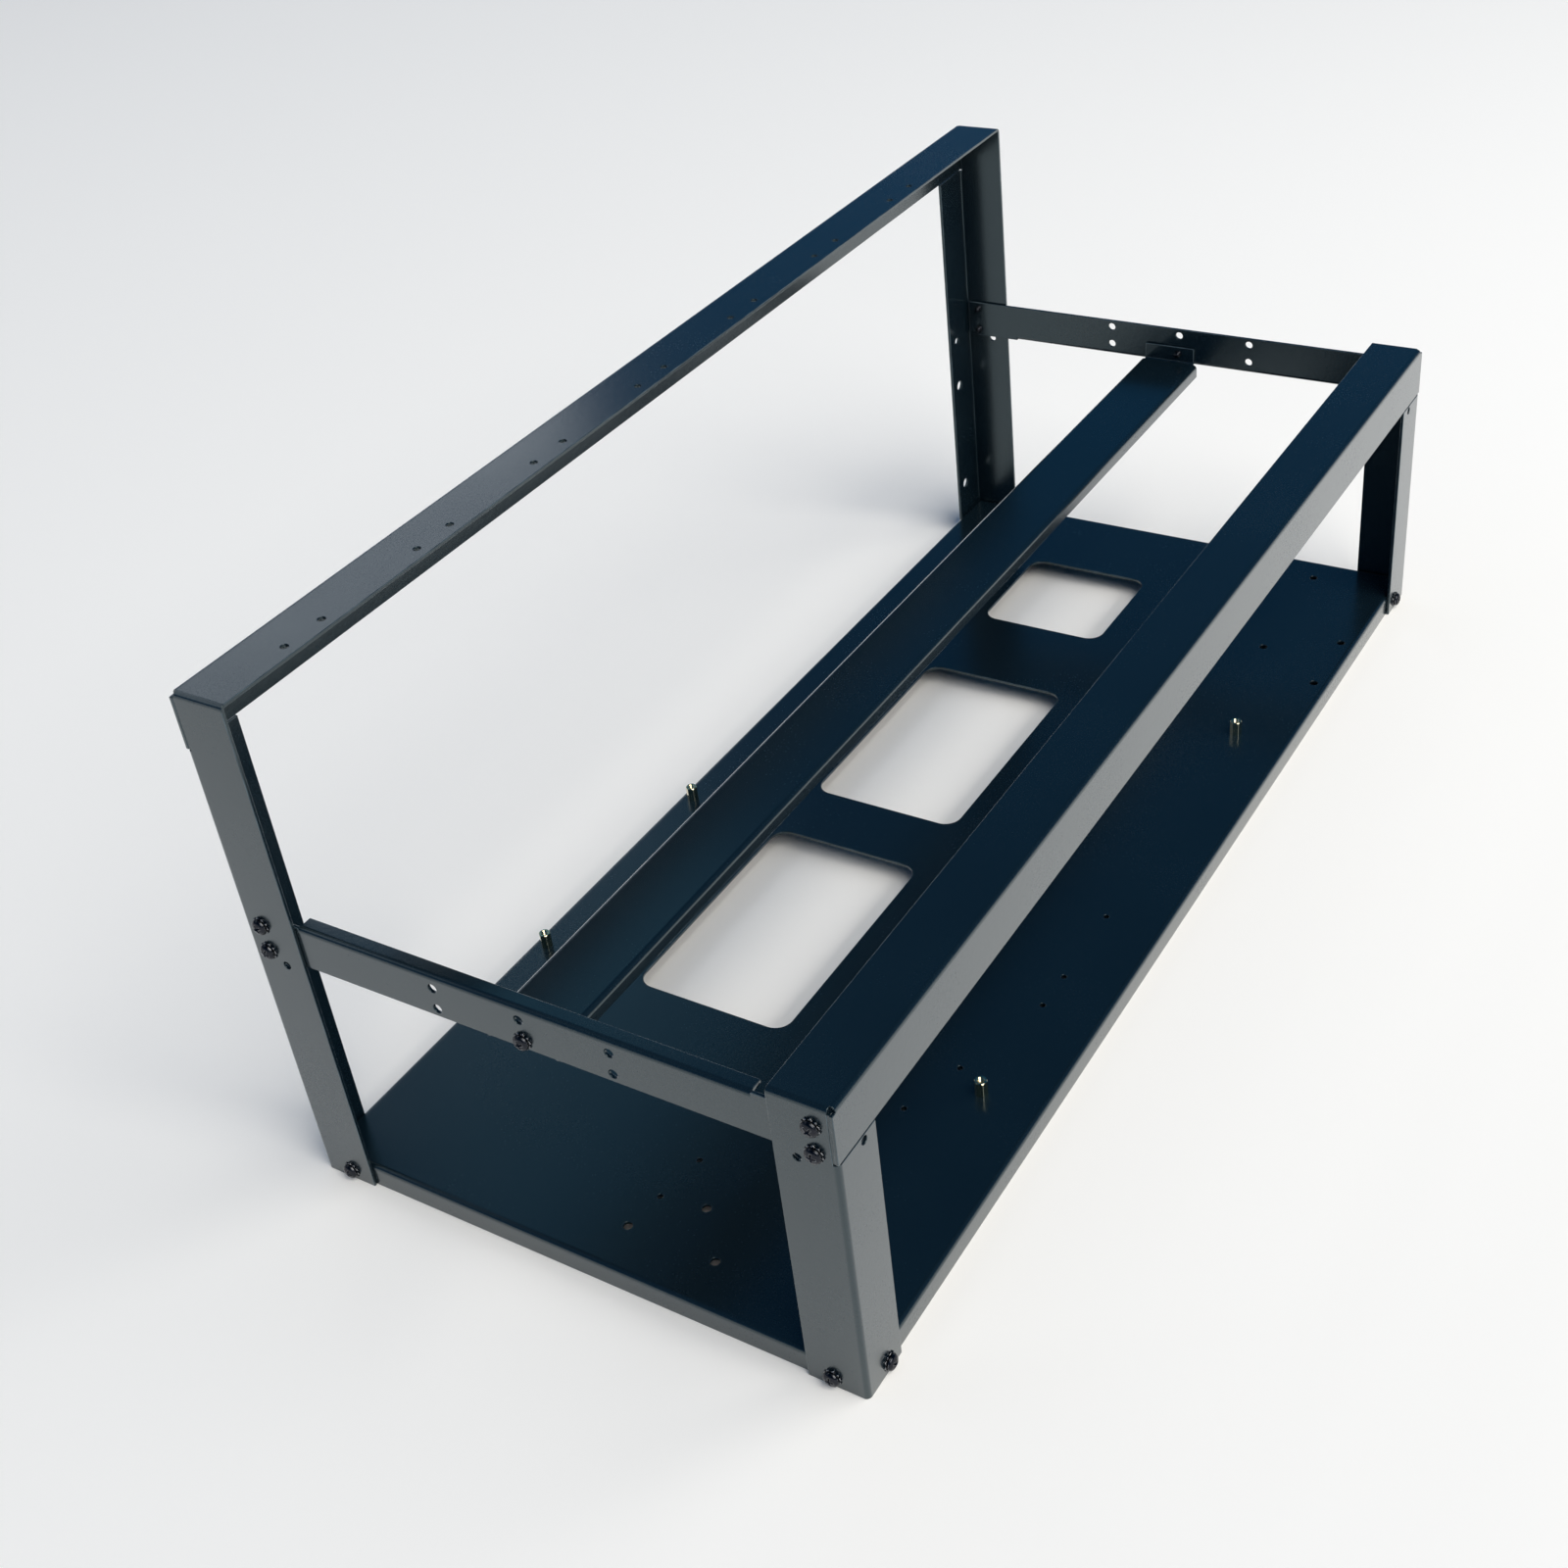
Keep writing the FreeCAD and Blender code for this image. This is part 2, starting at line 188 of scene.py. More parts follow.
# %% Lamps
WARM = "#FFF9EE"
KEY_FROM = Vector((-0.35, -0.8, 1.0))
KEY_ANGLE = radians(45)
KEY_STRENGTH = 2.35
BOX_AT = Vector((0.7, -1.6, 1.5))
BOX_SIZE = 2.2
BOX_POWER = 32.0
TO_FRONT = Vector((0, -1, 0))
CARDS = {                            # place, width, height, power and colour
    "low_card": (Vector((1.85, 2.5, 1.93)), 1.7, 0.45, 3.4, "#FFFFFF"),
    "high_card": (Vector((2.3, 2.5, 3.1)), 1.4, 0.9, 1.6, "#9AD8F0"),
    "tall_card": (Vector((-0.75, 2.5, 2.3)), 3.3, 1.2, 11.0, "#FFFFFF"),
}


def new_lamp(name, kind, stand_at, aim, energy, hex_colour, mirrored=True):
    """Lamp that stands at a place and shines along aim; faces show its reflection if it is mirrored."""
    lamp = bpy.data.lights.new(name, kind)
    lamp.energy = energy
    lamp.color = linear(hex_colour)[:3]
    stand = bpy.data.objects.new(name, lamp)
    stand.location = stand_at
    stand.rotation_mode = "QUATERNION"
    stand.rotation_quaternion = aim.to_track_quat("-Z", "Y")
    stand.visible_camera = False
    stand.visible_glossy = mirrored
    scene.collection.objects.link(stand)
    return lamp


new_lamp("soft_key", "SUN", KEY_FROM, -KEY_FROM, KEY_STRENGTH, WARM).angle = KEY_ANGLE
new_lamp("front_box", "AREA", BOX_AT, -BOX_AT, BOX_POWER, WARM, mirrored=False).size = BOX_SIZE
for name, (card_at, card_width, card_height, power, hex_colour) in CARDS.items():
    card = new_lamp(name, "AREA", card_at, TO_FRONT, power, hex_colour)
    card.shape = "RECTANGLE"
    card.size = card_width
    card.size_y = card_height
print("lamps", [lamp.name for lamp in bpy.data.lights])

# %% [markdown]
# Powder coat is polyester powder that was sprayed dry and then melted in an oven. It flows almost
# flat, with a fine orange-peel ripple a couple of millimetres long, so reflections are soft and a
# little restless. The grains in it are finer than a pixel, so they only vary the gloss. Molten powder
# draws back from an edge, so cut edges are paler and rub through first: the sheets mark those faces
# with an attribute, and the material lightens them in patches. This pale edge tone is partly that wear
# and partly a painted highlight, the thin light line that a lit edge shows. The resin also leaves a
# clear skin over the pigment, which is the shader's coat: a second reflection over the first.

# %% Satin powder coat
PEEL_MM = 2.2                        # length of the ripple
PEEL_DEPTH_MM = 0.02
GRAIN_MM = 0.9                       # really about 0.1 mm: drawn coarser so that it shows
CLOUD_MM = 70.0                      # broad change in how thick the powder fell
# Each pale stretch of edge is partly worn powder and partly a painted highlight.
PATCH_MM = 9.0                       # length of a worn stretch of edge
WEAR_AND_HIGHLIGHT_EDGE = "wear_and_highlight_edge"                   # attribute of the faces along an edge
NOISE_SPAN = {"From Min": 0.3, "From Max": 0.7}    # most values of a noise lie in it
PATCH_SPAN = {"From Min": 0.4, "From Max": 0.65}   # narrower, so that patches have clear ends
RESIN_IOR = 1.45

powder_coat, tree, out = new_material("satin_powder_coat_on_steel")
place = add(tree, "ShaderNodeTexCoord").outputs["Object"]
peel = add(tree, "ShaderNodeTexNoise", {"Vector": place, "Scale": 1 / (PEEL_MM * MM), "Detail": 2.0})
grain = add(tree, "ShaderNodeTexNoise", {"Vector": place, "Scale": 1 / (GRAIN_MM * MM), "Detail": 1.0})
cloud = add(tree, "ShaderNodeTexNoise", {"Vector": place, "Scale": 1 / (CLOUD_MM * MM), "Detail": 3.0})
patch = add(tree, "ShaderNodeTexNoise", {"Vector": place, "Scale": 1 / (PATCH_MM * MM), "Detail": 3.0})
ripple = add(tree, "ShaderNodeBump",
             {"Height": peel.outputs["Fac"], "Distance": PEEL_DEPTH_MM * MM, "Strength": 1.0})
mixed = add(tree, "ShaderNodeMix",
            {"Factor": 0.5, "A": grain.outputs["Fac"], "B": cloud.outputs["Fac"]})
gloss = add(tree, "ShaderNodeMapRange",
            {"Value": mixed.outputs["Result"], **NOISE_SPAN, "To Min": 0.17, "To Max": 0.3})
tint = add(tree, "ShaderNodeMix",
           {"Factor": cloud.outputs["Fac"], "A": linear("#09141B"), "B": linear("#0B1922")},
           data_type="RGBA")
# Paler patches on the marked edges: partly worn, thin powder and partly a painted highlight, the light
# line of a lit edge.
rubbed_and_highlit = add(tree, "ShaderNodeMapRange",
             {"Value": patch.outputs["Fac"], **PATCH_SPAN, "To Min": 0.3, "To Max": 0.9})
edge = add(tree, "ShaderNodeAttribute", attribute_name=WEAR_AND_HIGHLIGHT_EDGE)
thin_powder_and_highlight = add(tree, "ShaderNodeMath", {0: edge.outputs["Fac"], 1: rubbed_and_highlit.outputs["Result"]},
           operation="MULTIPLY")
colour = add(tree, "ShaderNodeMix",
             {"Factor": thin_powder_and_highlight.outputs["Value"], "A": tint.outputs["Result"], "B": linear("#46535B")},
             data_type="RGBA")
coat = add(tree, "ShaderNodeBsdfPrincipled",
           {"Base Color": colour.outputs["Result"], "Roughness": gloss.outputs["Result"],
            "Normal": ripple.outputs["Normal"], "IOR": RESIN_IOR, "Specular Tint": linear("#B8F2FF"),
            "Coat Weight": 1.0, "Coat IOR": RESIN_IOR, "Coat Roughness": 0.2,
            "Coat Normal": ripple.outputs["Normal"]})
tree.links.new(coat.outputs["BSDF"], out.inputs["Surface"])
print("powder coat nodes", len(tree.nodes))

# %% [markdown]
# The screws and washers are steel with a black zinc plating: a dark metal whose edges glint, because
# the driver and the sheet rub the thin plating off them. The plating is a little cloudy, so one noise
# varies both its tone and its gloss, and breaks up the bare edges.

# %% Black zinc
FLECK_MM = 0.8                       # length of a cloud in the plating

black_zinc, tree, out = new_material("black_zinc_plated_steel")
place = add(tree, "ShaderNodeTexCoord").outputs["Object"]
fleck = add(tree, "ShaderNodeTexNoise", {"Vector": place, "Scale": 1 / (FLECK_MM * MM), "Detail": 3.0})
gloss = add(tree, "ShaderNodeMapRange",
            {"Value": fleck.outputs["Fac"], **NOISE_SPAN, "To Min": 0.16, "To Max": 0.32})
tint = add(tree, "ShaderNodeMix",
           {"Factor": fleck.outputs["Fac"], "A": linear("#2A2C30"), "B": linear("#3A3C42")},
           data_type="RGBA")
edge = add(tree, "ShaderNodeAttribute", attribute_name=WEAR_AND_HIGHLIGHT_EDGE)
bare = add(tree, "ShaderNodeMath", {0: edge.outputs["Fac"], 1: fleck.outputs["Fac"]},
           operation="MULTIPLY")
colour = add(tree, "ShaderNodeMix",
             {"Factor": bare.outputs["Value"], "A": tint.outputs["Result"], "B": linear("#A2A4A8")},
             data_type="RGBA")
plating = add(tree, "ShaderNodeBsdfPrincipled",
              {"Base Color": colour.outputs["Result"], "Metallic": 1.0,
               "Roughness": gloss.outputs["Result"]})
tree.links.new(plating.outputs["BSDF"], out.inputs["Surface"])
print("black zinc nodes", len(tree.nodes))

# %% [markdown]
# The standoffs are cut from drawn bar of pale brass. The die that the bar was pulled through leaves
# faint lines along its flats, so the pattern is a noise that is stretched along the standoff.

# %% Brass
STREAK_MM = 0.3                      # really finer than 0.1 mm: drawn coarser so that it shows
STREAK_DEPTH_MM = 0.006
STRETCH = 0.06                       # scale along the bar, so streaks are about 17 times longer than wide

brass, tree, out = new_material("drawn_pale_brass")
place = add(tree, "ShaderNodeTexCoord").outputs["Object"]
along = add(tree, "ShaderNodeMapping", {"Vector": place, "Scale": (1.0, 1.0, STRETCH)})
streak = add(tree, "ShaderNodeTexNoise",
             {"Vector": along.outputs["Vector"], "Scale": 1 / (STREAK_MM * MM), "Detail": 2.0})
lines = add(tree, "ShaderNodeBump",
            {"Height": streak.outputs["Fac"], "Distance": STREAK_DEPTH_MM * MM, "Strength": 1.0})
gloss = add(tree, "ShaderNodeMapRange",
            {"Value": streak.outputs["Fac"], **NOISE_SPAN, "To Min": 0.1, "To Max": 0.22})
tint = add(tree, "ShaderNodeMix",
           {"Factor": streak.outputs["Fac"], "A": linear("#D2C8A2"), "B": linear("#E4DCBC")},
           data_type="RGBA")
edge = add(tree, "ShaderNodeAttribute", attribute_name=WEAR_AND_HIGHLIGHT_EDGE)
colour = add(tree, "ShaderNodeMix",
             {"Factor": edge.outputs["Fac"], "A": tint.outputs["Result"], "B": linear("#F2ECD6")},
             data_type="RGBA")
metal = add(tree, "ShaderNodeBsdfPrincipled",
            {"Base Color": colour.outputs["Result"], "Metallic": 1.0,
             "Roughness": gloss.outputs["Result"], "Normal": lines.outputs["Normal"]})
tree.links.new(metal.outputs["BSDF"], out.inputs["Surface"])
print("brass nodes", len(tree.nodes), "materials", [m.name for m in bpy.data.materials])

# %% [markdown]
# Every piece below is a bmesh that becomes an object and rides with the frame, and most stand for one CAD
# node.
# A CAD mesh is loose triangles, so a copy of it is welded before anything else is done to it. All
# rounds are made by one function, because bmesh's bevel needs more settings than the editor's.

# %% Helpers for pieces
WELD = 0.002 * MM                    # points closer than this are one
ROUND_STEPS = 2
LARGE_FACES_WIN = 100                # the modifier's highest weight: large faces keep their own normal


def welded(node):
    """Bmesh of a CAD node's mesh with its loose triangles joined."""
    bm = bmesh.new()
    bm.from_mesh(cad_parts[node].data)
    bmesh.ops.remove_doubles(bm, verts=bm.verts, dist=WELD)
    return bm


def round_edges(bm, edges, size):
    """Rounds edges by that size and returns the faces of the rounds."""
    return bmesh.ops.bevel(bm, geom=edges, offset=size, offset_type="OFFSET", affect="EDGES",
                           segments=ROUND_STEPS, profile=0.5, material=-1, loop_slide=False)["faces"]


def make_piece(name, bm, material, node):
    """Object from a bmesh, standing for that CAD node if there is one, and riding with the frame."""
    mesh = bpy.data.meshes.new(name)
    for face in bm.faces:
        face.smooth = True
    bm.to_mesh(mesh)
    bm.free()
    mesh.materials.append(material)
    piece = bpy.data.objects.new(name, mesh)
    scene.collection.objects.link(piece)
    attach(piece, "root")
    if node:
        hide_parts(node)
    return piece


def keep_flat(piece):
    """Weighted normal that keeps flats flat, lets rounds shade and leaves marked edges sharp."""
    flat_faces = piece.modifiers.new("flat_faces", "WEIGHTED_NORMAL")
    flat_faces.weight = LARGE_FACES_WIN
    flat_faces.keep_sharp = True


print("piece helpers ready")

# %% [markdown]
# Laser-cut sheet is deburred before it is coated, and the powder then rounds the edges further. A CAD
# edge is perfectly sharp, so it never catches the light. Each folded sheet is therefore copied, its
# flats are cleaned up, and its outward edges get a small round. A Bevel modifier would round the inward
# corners too, so the edges are chosen by their signed angle instead.
# A cutter can't reach the cusp where a trimmed flange runs out on its web, so the short steps of the
# arc there stay sharp.

# %% Folded sheets with rounded edges
SHEETS = ("base_tray", "front_arch", "rear_arch", "left_end_rail", "right_end_rail", "middle_rail")
EDGE_ROUND = 0.28 * MM
SHARP = radians(60)
FLAT = radians(0.3)
CUSP_STEP = 0.2 * MM
CUSP_REACH = 1.3 * MM
LONG_EDGE = 2.0 * MM                 # hands and boxes rub the long edges, and not the rims of holes


def in_cusp(edge, inner_ends):
    """Whether an edge is a short step of an arc beside the end of an inner corner."""
    middle = (edge.verts[0].co + edge.verts[1].co) / 2
    return edge.calc_length() < CUSP_STEP and any((middle - p).length < CUSP_REACH for p in inner_ends)


for node in SHEETS:
    bm = welded(node)
    bmesh.ops.dissolve_limit(bm, angle_limit=FLAT, verts=bm.verts, edges=bm.edges, delimit=set())
    inner_ends = [v.co for e in bm.edges if e.calc_face_angle_signed() < -SHARP for v in e.verts]
    cut_edges = [e for e in bm.edges if e.calc_face_angle_signed() > SHARP and not in_cusp(e, inner_ends)]
    # The rounds of the long edges get the pale tone, which is partly wear and partly a painted highlight.
    wear_and_highlight = bm.faces.layers.float.new(WEAR_AND_HIGHLIGHT_EDGE)
    for face in round_edges(bm, cut_edges, EDGE_ROUND):
        face[wear_and_highlight] = 1.0 if max(e.calc_length() for e in face.edges) > LONG_EDGE else 0.0
    bmesh.ops.remove_doubles(bm, verts=bm.verts, dist=WELD)
    for edge in bm.edges:
        edge.smooth = edge.calc_face_angle() < SHARP
    piece = make_piece(node + "_sheet", bm, powder_coat, node)
    keep_flat(piece)
    print(piece.name, "edges rounded", len(cut_edges), "faces", len(piece.data.polygons))

# %% [markdown]
# At the top corners of an arch the end of the flange meets the edge of the post, and the powder runs
# into the slit between them and closes it, a little below the surface. Each fill is a thin block, made
# from a cube that is scaled to the slit and rounded along its edges.

# %% Powder in the corner seams
SEAM_DEPTH = 0.22 * MM               # how far the fill lies below the post's side
SEAM_FILL = 1.2 * MM                 # its thickness
SEAM_NEAR = 1.5 * MM                 # from the arch's face to the inner face of its flange
SEAM_FAR = 2.3 * MM                  # from the arch's face to the edge of the post
SEAM_TOP = 2.3 * MM                  # both ends of the fill, below the arch's top
SEAM_LOW = 25.0 * MM
SEAM_OVERLAP = 0.02 * MM
SEAM_ROUND = 0.1 * MM

for node, facing in (("front_arch", -1), ("rear_arch", 1)):
    low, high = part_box(node)
    face_y = low.y if facing < 0 else high.y
    middle_y = face_y - facing * (SEAM_NEAR + SEAM_FAR) / 2
    middle_z = high.z - (SEAM_TOP + SEAM_LOW) / 2
    for side, side_name in ((-1, "left"), (1, "right")):
        middle_x = side * (high.x - SEAM_DEPTH - SEAM_FILL / 2)
        bm = bmesh.new()
        bmesh.ops.create_cube(bm, size=1.0)
        bmesh.ops.scale(bm, verts=bm.verts,
                        vec=(SEAM_FILL, SEAM_FAR - SEAM_NEAR + 2 * SEAM_OVERLAP, SEAM_LOW - SEAM_TOP))
        round_edges(bm, bm.edges, SEAM_ROUND)
        bmesh.ops.translate(bm, verts=bm.verts, vec=(middle_x, middle_y, middle_z))
        piece = make_piece(node + "_" + side_name + "_seam_fill", bm, powder_coat, None)
        keep_flat(piece)
        ends = [round((high.z - below) / MM, 1) for below in (SEAM_LOW, SEAM_TOP)]
        print(piece.name, "from", ends[0], "to", ends[1], "mm")

# %% [markdown]
# Screws, washers and standoffs are turned or stamped about one axis. A spun profile makes only round
# things, and a toothed washer and a hexagonal bar aren't round. So each of them grows from a closed
# ring of edges, which is extruded step by step, and its radius and height may depend on the direction.

# %% Rings that grow a turned shape


def next_ring(bm, edges, radius, z):
    """Extrudes a closed ring of edges; radius and z are numbers, or functions of the direction."""
    grown = bmesh.ops.extrude_edge_only(bm, edges=edges)["geom"]
    verts = {v for v in grown if isinstance(v, bmesh.types.BMVert)}
    for v in verts:
        flat = Vector((v.co.x, v.co.y, 0)).normalized()
        v.co = flat * (radius(flat) if callable(radius) else radius)
        v.co.z = z(flat) if callable(z) else z
    return [e for e in grown if isinstance(e, bmesh.types.BMEdge) and set(e.verts) <= verts]


def close_up(bm):
    """Joins doubles, points the faces outwards and returns a mesh."""
    bmesh.ops.remove_doubles(bm, verts=bm.verts, dist=WELD)
    bmesh.ops.recalc_face_normals(bm, faces=bm.faces)
    mesh = bpy.data.meshes.new("pattern")
    bm.to_mesh(mesh)
    bm.free()
    return mesh


print("ring helpers ready")

# %% [markdown]
# The screws have pan heads with a cross recess. A head is easiest as a square grid that is pulled
# round: its rows and columns already draw the cross, so the recess is five faces pushed down, with no
# cutter. The rim of the grid then grows ring by ring into the edge, the underside, the shank and the
# tip. The rims of the head and of its recess are rounded, and they are where the plating wears.

# %% Screw head and shank
HEAD_RADIUS = 3.4 * MM
SEAT_Z = 0.6 * MM                    # top of the washer, where the head sits
RIM_Z = 1.4 * MM
CROWN_Z = 3.1 * MM
RIM_ROUND = 0.12 * MM
CROSS_REACH = 0.588                  # length and half width of the cross's arms, as shares of the head
CROSS_HALF = 0.147
KNOTS = (-1, -0.97, -0.88, -0.74, -CROSS_REACH, -CROSS_HALF,
         CROSS_HALF, CROSS_REACH, 0.74, 0.88, 0.97, 1)
RECESS_DEPTH = 1.3 * MM
RECESS_TAPER = 0.72
SHANK_RADIUS = 1.72 * MM
CORE_RADIUS = 1.42 * MM
SHEETS_Z = -3.1 * MM                 # under the two sheets that the screw holds
TIP_Z = -5.6 * MM
TIP_CHAMFER = 0.4 * MM
TIP_RADIUS = 0.7 * CORE_RADIUS

bm = bmesh.new()
wear_and_highlight = bm.faces.layers.float.new(WEAR_AND_HIGHLIGHT_EDGE)
cells = len(KNOTS) - 1
bmesh.ops.create_grid(bm, x_segments=cells, y_segments=cells, size=1.0)
for v in bm.verts:
    x, y = (KNOTS[round((c + 1) / 2 * cells)] for c in v.co.xy)
    v.co.xy = x * sqrt(1 - y * y / 2), y * sqrt(1 - x * x / 2)
    v.co.z = RIM_Z + (CROWN_Z - RIM_Z) * sqrt(max(0.0, 1 - v.co.xy.length_squared))
    v.co.xy *= HEAD_RADIUS
cross = [f for f in bm.faces if f.calc_center_median().xy.length < CROSS_REACH * HEAD_RADIUS
         and min(abs(c) for c in f.calc_center_median().xy) < CROSS_HALF * HEAD_RADIUS]
recess = bmesh.ops.extrude_face_region(bm, geom=cross)["geom"]
pushed = {v for v in recess if isinstance(v, bmesh.types.BMVert)}
for v in pushed:
    v.co.xy *= RECESS_TAPER
    v.co.z = CROWN_Z - RECESS_DEPTH
bmesh.ops.delete(bm, geom=cross, context="FACES")
ring = [e for e in bm.edges if e.is_boundary]
rims = ring + [e for e in bm.edges if not pushed & set(e.verts)
               and any(pushed & set(f.verts) for f in e.link_faces)]
for radius, z in ((HEAD_RADIUS, SEAT_Z), (SHANK_RADIUS, SEAT_Z), (SHANK_RADIUS, SHEETS_Z),
                  (CORE_RADIUS, SHEETS_Z), (CORE_RADIUS, TIP_Z + TIP_CHAMFER), (TIP_RADIUS, TIP_Z)):
    ring = next_ring(bm, ring, radius, z)
bmesh.ops.edgeloop_fill(bm, edges=ring)
for face in round_edges(bm, rims, RIM_ROUND):
    face[wear_and_highlight] = 1.0
print("head and shank", len(bm.faces), "faces, recess faces", len(cross))

# %% [markdown]
# The ends of the screws show behind the inner sheets, so they have a real thread. A small triangle is
# spun about the axis and rises by the pitch with every turn. Its foot lies a little inside the core, so
# that no gap shows between them.

# %% Screw thread
PITCH = 0.6 * MM
TURNS = 3
STEPS_PER_TURN = 16
CREST_RADIUS = 1.75 * MM
ROOT_RADIUS = 0.95 * CORE_RADIUS
FLANK = 0.45 * PITCH                 # half the thickness of the thread at its foot

first_z = TIP_Z + PITCH
corners = [bm.verts.new((r, 0, first_z + z)) for r, z in
           ((ROOT_RADIUS, -FLANK), (CREST_RADIUS, 0), (ROOT_RADIUS, FLANK))]
triangle = [bm.edges.new((corners[i], corners[(i + 1) % 3])) for i in range(3)]
bmesh.ops.spin(bm, geom=corners + triangle, cent=(0, 0, 0), axis=(0, 0, 1), angle=2 * pi * TURNS,
               steps=STEPS_PER_TURN * TURNS, dvec=(0, 0, PITCH / STEPS_PER_TURN))
bmesh.ops.holes_fill(bm, edges=[e for e in bm.edges if e.is_boundary], sides=0)
screw_mesh = close_up(bm)
print("screw", len(screw_mesh.polygons), "faces")

# %% [markdown]
# Under each head lies an external-tooth lock washer: a thin spring-steel ring whose teeth are twisted
# so that their corners bite into the head and the sheet. It could be cut from a disc, but a ring whose
# radius follows the teeth is cleaner. It is made flat and thickened, and then the two corners of each
# tooth are pulled apart in height.

# %% Lock washer
TEETH = 10
WASHER_BORE = 2.0 * MM
WASHER_NECK = 2.9 * MM
TOOTH_ROOT = 3.2 * MM
TOOTH_TIP = 4.0 * MM
WASHER_THICK = 0.36 * MM
WASHER_LIFT = 0.12 * MM
TWIST = 0.2 * MM                     # one corner of a tooth rises by this, and the other dips by half


def tooth_place(flat):
    """Which of the four points of a tooth's outline lies in that direction; 1 and 2 are its corners."""
    turn = Vector((1, 0)).angle_signed(flat.xy) % (2 * pi)
    return round(turn / (2 * pi) * 4 * TEETH) % 4


def tooth_radius(flat):
    """Distance from the axis to the toothed edge in that direction."""
    return TOOTH_TIP if tooth_place(flat) in (1, 2) else TOOTH_ROOT


bm = bmesh.new()
bmesh.ops.create_circle(bm, segments=4 * TEETH, radius=WASHER_BORE)
ring = next_ring(bm, list(bm.edges), WASHER_NECK, 0)
next_ring(bm, ring, tooth_radius, 0)
bmesh.ops.recalc_face_normals(bm, faces=bm.faces)
bmesh.ops.solidify(bm, geom=bm.faces, thickness=WASHER_THICK)
lowest = min(v.co.z for v in bm.verts)
for v in bm.verts:
    v.co.z += WASHER_LIFT - lowest
    if v.co.xy.length > (TOOTH_ROOT + TOOTH_TIP) / 2:
        v.co.z += TWIST if tooth_place(v.co.normalized()) == 1 else -TWIST / 2
wear_and_highlight = bm.faces.layers.float.new(WEAR_AND_HIGHLIGHT_EDGE)
for face in bm.faces:
    face[wear_and_highlight] = 1.0 if face.calc_center_median().xy.length > TOOTH_ROOT else 0.0
washer_mesh = close_up(bm)
print("washer", len(washer_mesh.polygons), "faces")

# %% [markdown]
# The CAD part says where every fastener sits. Each of its washers is a loose flat disc: the thin side
# of its box gives the screw's axis, and the face nearer to the middle of the frame is the seat.

# %% Seats of the fasteners


def loose_boxes(node):
    """Lowest and highest corner of each loose solid of a CAD node."""
    bm = welded(node)
    boxes = []
    for start in bm.verts:
        if start.tag:
            continue
        start.tag = True
        waiting = [start]
        points = []
        while waiting:
            v = waiting.pop()
            points.append(v.co.copy())
            for other in (e.other_vert(v) for e in v.link_edges):
                if not other.tag:
                    other.tag = True
                    waiting.append(other)
        boxes.append([Vector(pick(p[i] for p in points) for i in range(3)) for pick in (min, max)])
    bm.free()
    return boxes


def seats(node):
    """Seat and outward direction of each washer of a CAD node."""
    found = []
    for low, high in loose_boxes(node):
        size = high - low
        thin_axis = min(range(3), key=lambda i: size[i])
        point = (low + high) / 2
        outward = Vector((0, 0, 0))
        outward[thin_axis] = 1 if point[thin_axis] > 0 else -1
        found.append((point - outward * (size[thin_axis] / 2), outward))
    return found


washer_seats = {node: seats(node) for node in sorted(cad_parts) if node.endswith("_washers")}
print("seats", sum(len(places) for places in washer_seats.values()), "in", len(washer_seats), "nodes")

# %% [markdown]
# A copy of the washer and of the screw goes to each seat. Linked duplicates would leave their places in
# the objects' transforms, so the copies are moved in the mesh, and each CAD node gets one piece.
# A screw stops at any angle, so each recess is turned by the golden angle from the one before.

# %% Fasteners in place
GOLDEN_ANGLE = radians(137.5)


def set_copies(mesh, places, turns):
    """Bmesh with a copy of the mesh at each seat, its z axis turned outward."""
    bm = bmesh.new()
    for (point, outward), turn in zip(places, turns):
        known = set(bm.verts)
        bm.from_mesh(mesh)
        stand = outward.to_track_quat("Z", "Y").to_matrix() @ Matrix.Rotation(turn, 3, "Z")
        bmesh.ops.transform(bm, matrix=Matrix.Translation(point) @ stand.to_4x4(),
                            verts=[v for v in bm.verts if v not in known])
    return bm


count = 0
for node, places in washer_seats.items():
    turns = [(count + i) * GOLDEN_ANGLE for i in range(len(places))]
    count += len(places)
    make_piece("lock_" + node, set_copies(washer_mesh, places, turns), black_zinc, node)
    screws = node.replace("_washers", "_screws")
    make_piece("pan_head_" + screws, set_copies(screw_mesh, places, turns), black_zinc, screws)
for mesh in (screw_mesh, washer_mesh):
    bpy.data.meshes.remove(mesh)
print("screws with washers", count)

# %% [markdown]
# A standoff starts as hexagonal bar. The lathe faces its end, which trims the corners to a cone and
# leaves a curved line on every flat, and then drills and taps it. Forty-eight points round the bar are
# enough for both the hexagon and the round bore, so one ring grows from the stud up and into the hole.

# %% Standoff
FLATS = 5.0 * MM                     # width across the flats
NEAR_CORNER = 0.57 * FLATS           # a hexagon's corner lies at 0.577 of that width from the axis
CORNER_ROUND = 0.12 * MM
STANDOFF_TOP = 7.5 * MM
BORE_RADIUS = 1.5 * MM
BORE_FLOOR = 2.0 * MM
THREAD_DEPTH = 0.22 * MM
THREAD_PITCH = 0.5 * MM
STUD_RADIUS = 1.75 * MM
STUD_CHAMFER = 0.35 * MM
STUD_END = -4.0 * MM
RING_POINTS = 48                     # a multiple of 6, so that each corner of the hexagon is a point
SMOOTH_BELOW = radians(35)


def hexagon(flat):
    """Distance from the axis to the hexagon in that direction."""
    turn = Vector((1, 0)).angle_signed(flat.xy) % (pi / 3)
    return FLATS / 2 / cos(turn - pi / 6)


def chamfer_foot(flat):
    """Height where the cone of the chamfer leaves the hexagon in that direction."""
    return STANDOFF_TOP - (hexagon(flat) - FLATS / 2)


